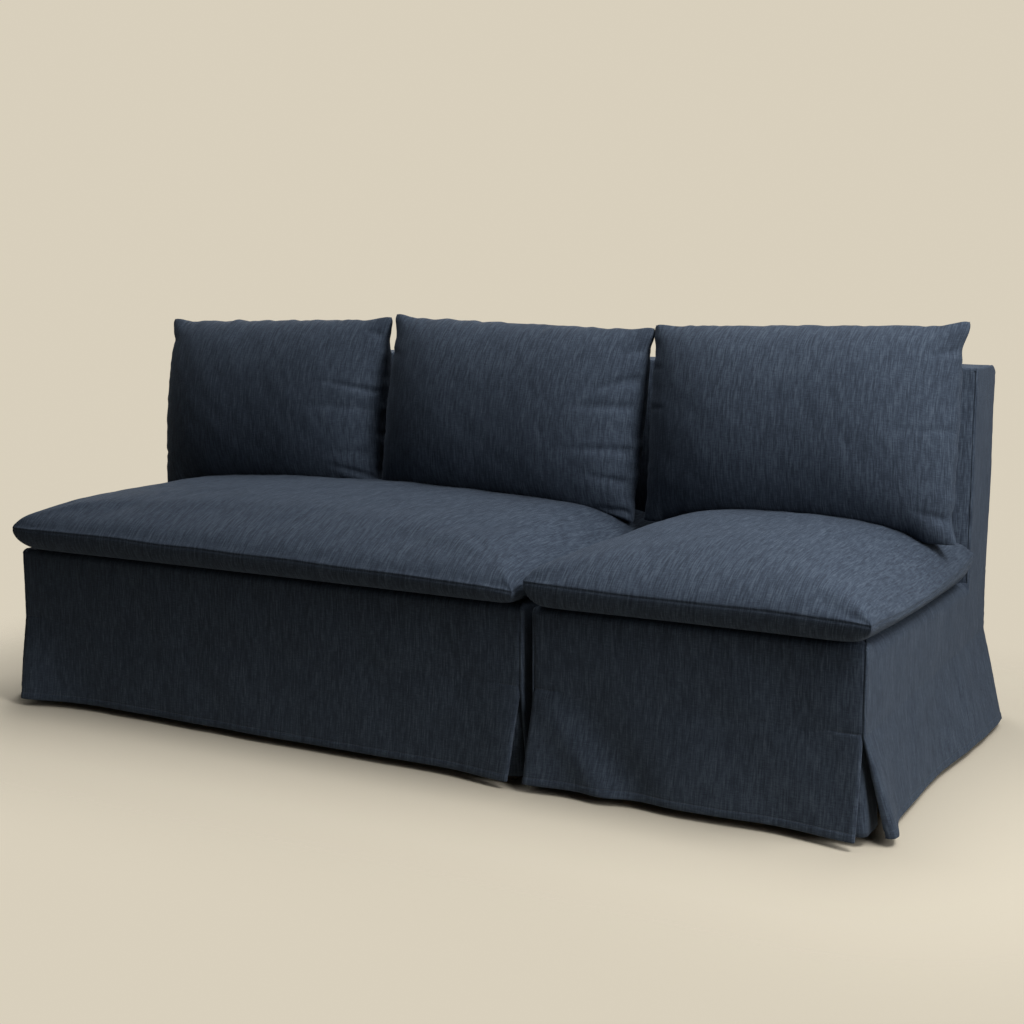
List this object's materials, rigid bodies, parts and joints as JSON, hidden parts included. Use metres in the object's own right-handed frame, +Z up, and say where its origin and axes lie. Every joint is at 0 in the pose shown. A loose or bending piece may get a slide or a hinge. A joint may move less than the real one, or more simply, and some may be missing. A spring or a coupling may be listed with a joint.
{
  "type": "dining banquette",
  "caption": "Armless slipcovered dining banquette in free-standing modules, with loose knife-edge seat and back cushions that lift off and a floor-length skirt with inverted corner pleats.",
  "frame": {"origin": "on the floor, under the middle of the plan box of both modules side by side", "axes": "+X runs along the seats from the two-seat module to the one-seat module, -Y is the front, +Z is up"},
  "size_m": [2.001, 1.001, 0.8428],
  "materials": {
    "navy_linen": "matt slubbed navy linen, faintly darker in the folds",
    "frame_timber": "plain sawn hardwood, unfinished",
    "foot_timber": "dark stained hardwood, satin",
    "jute_webbing": "woven jute strap",
    "pad_foam": "open-cell foam, matt",
    "insert_ticking": "close cotton ticking, matt"
  },
  "bodies": {
    "wide_module": {"wide_back_pad": "pad_foam", "wide_back_webbing": "jute_webbing", "wide_centre_rail": "frame_timber", "wide_crest_rail": "frame_timber", "wide_deck_pad": "pad_foam", "wide_foot_front_left": "foot_timber", "wide_foot_front_right": "foot_timber", "wide_foot_rear_left": "foot_timber", "wide_foot_rear_right": "foot_timber", "wide_front_panel": "navy_linen", "wide_front_rail": "frame_timber", "wide_inside_back_panel": "navy_linen", "wide_left_panel": "navy_linen", "wide_left_rail": "frame_timber", "wide_left_upright": "frame_timber", "wide_outside_back_panel": "navy_linen", "wide_pleat_front_left": "navy_linen", "wide_pleat_front_right": "navy_linen", "wide_pleat_rear_left": "navy_linen", "wide_pleat_rear_right": "navy_linen", "wide_rear_rail": "frame_timber", "wide_right_panel": "navy_linen", "wide_right_rail": "frame_timber", "wide_right_upright": "frame_timber", "wide_seat_webbing": "jute_webbing"},
    "narrow_module": {"narrow_back_pad": "pad_foam", "narrow_back_webbing": "jute_webbing", "narrow_crest_rail": "frame_timber", "narrow_deck_pad": "pad_foam", "narrow_foot_front_left": "foot_timber", "narrow_foot_front_right": "foot_timber", "narrow_foot_rear_left": "foot_timber", "narrow_foot_rear_right": "foot_timber", "narrow_front_panel": "navy_linen", "narrow_front_rail": "frame_timber", "narrow_inside_back_panel": "navy_linen", "narrow_left_panel": "navy_linen", "narrow_left_rail": "frame_timber", "narrow_left_upright": "frame_timber", "narrow_outside_back_panel": "navy_linen", "narrow_pleat_front_left": "navy_linen", "narrow_pleat_front_right": "navy_linen", "narrow_pleat_rear_left": "navy_linen", "narrow_pleat_rear_right": "navy_linen", "narrow_rear_rail": "frame_timber", "narrow_right_panel": "navy_linen", "narrow_right_rail": "frame_timber", "narrow_right_upright": "frame_timber", "narrow_seat_webbing": "jute_webbing"},
    "wide_seat_cushion": {"wide_seat_cover": "navy_linen", "wide_seat_insert": "insert_ticking"},
    "narrow_seat_cushion": {"narrow_seat_cover": "navy_linen", "narrow_seat_insert": "insert_ticking"},
    "left_back_cushion": {"left_back_cushion_cover": "navy_linen", "left_back_cushion_insert": "insert_ticking"},
    "middle_back_cushion": {"middle_back_cushion_cover": "navy_linen", "middle_back_cushion_insert": "insert_ticking"},
    "right_back_cushion": {"right_back_cushion_cover": "navy_linen", "right_back_cushion_insert": "insert_ticking"}
  },
  "joints": [
    {"name": "narrow_module_pull", "type": "slide", "parent": "wide_module", "child": "narrow_module", "axis": [1, 0, 0], "range_m": [0, 0.5]},
    {"name": "wide_seat_lift", "type": "slide", "parent": "wide_module", "child": "wide_seat_cushion", "axis": [0, 0, 1], "range_m": [0, 0.3]},
    {"name": "narrow_seat_lift", "type": "slide", "parent": "narrow_module", "child": "narrow_seat_cushion", "axis": [0, 0, 1], "range_m": [0, 0.3]},
    {"name": "left_back_lift", "type": "slide", "parent": "wide_seat_cushion", "child": "left_back_cushion", "axis": [0, 0, 1], "range_m": [0, 0.4]},
    {"name": "middle_back_lift", "type": "slide", "parent": "wide_seat_cushion", "child": "middle_back_cushion", "axis": [0, 0, 1], "range_m": [0, 0.4]},
    {"name": "right_back_lift", "type": "slide", "parent": "narrow_seat_cushion", "child": "right_back_cushion", "axis": [0, 0, 1], "range_m": [0, 0.4]}
  ]
}
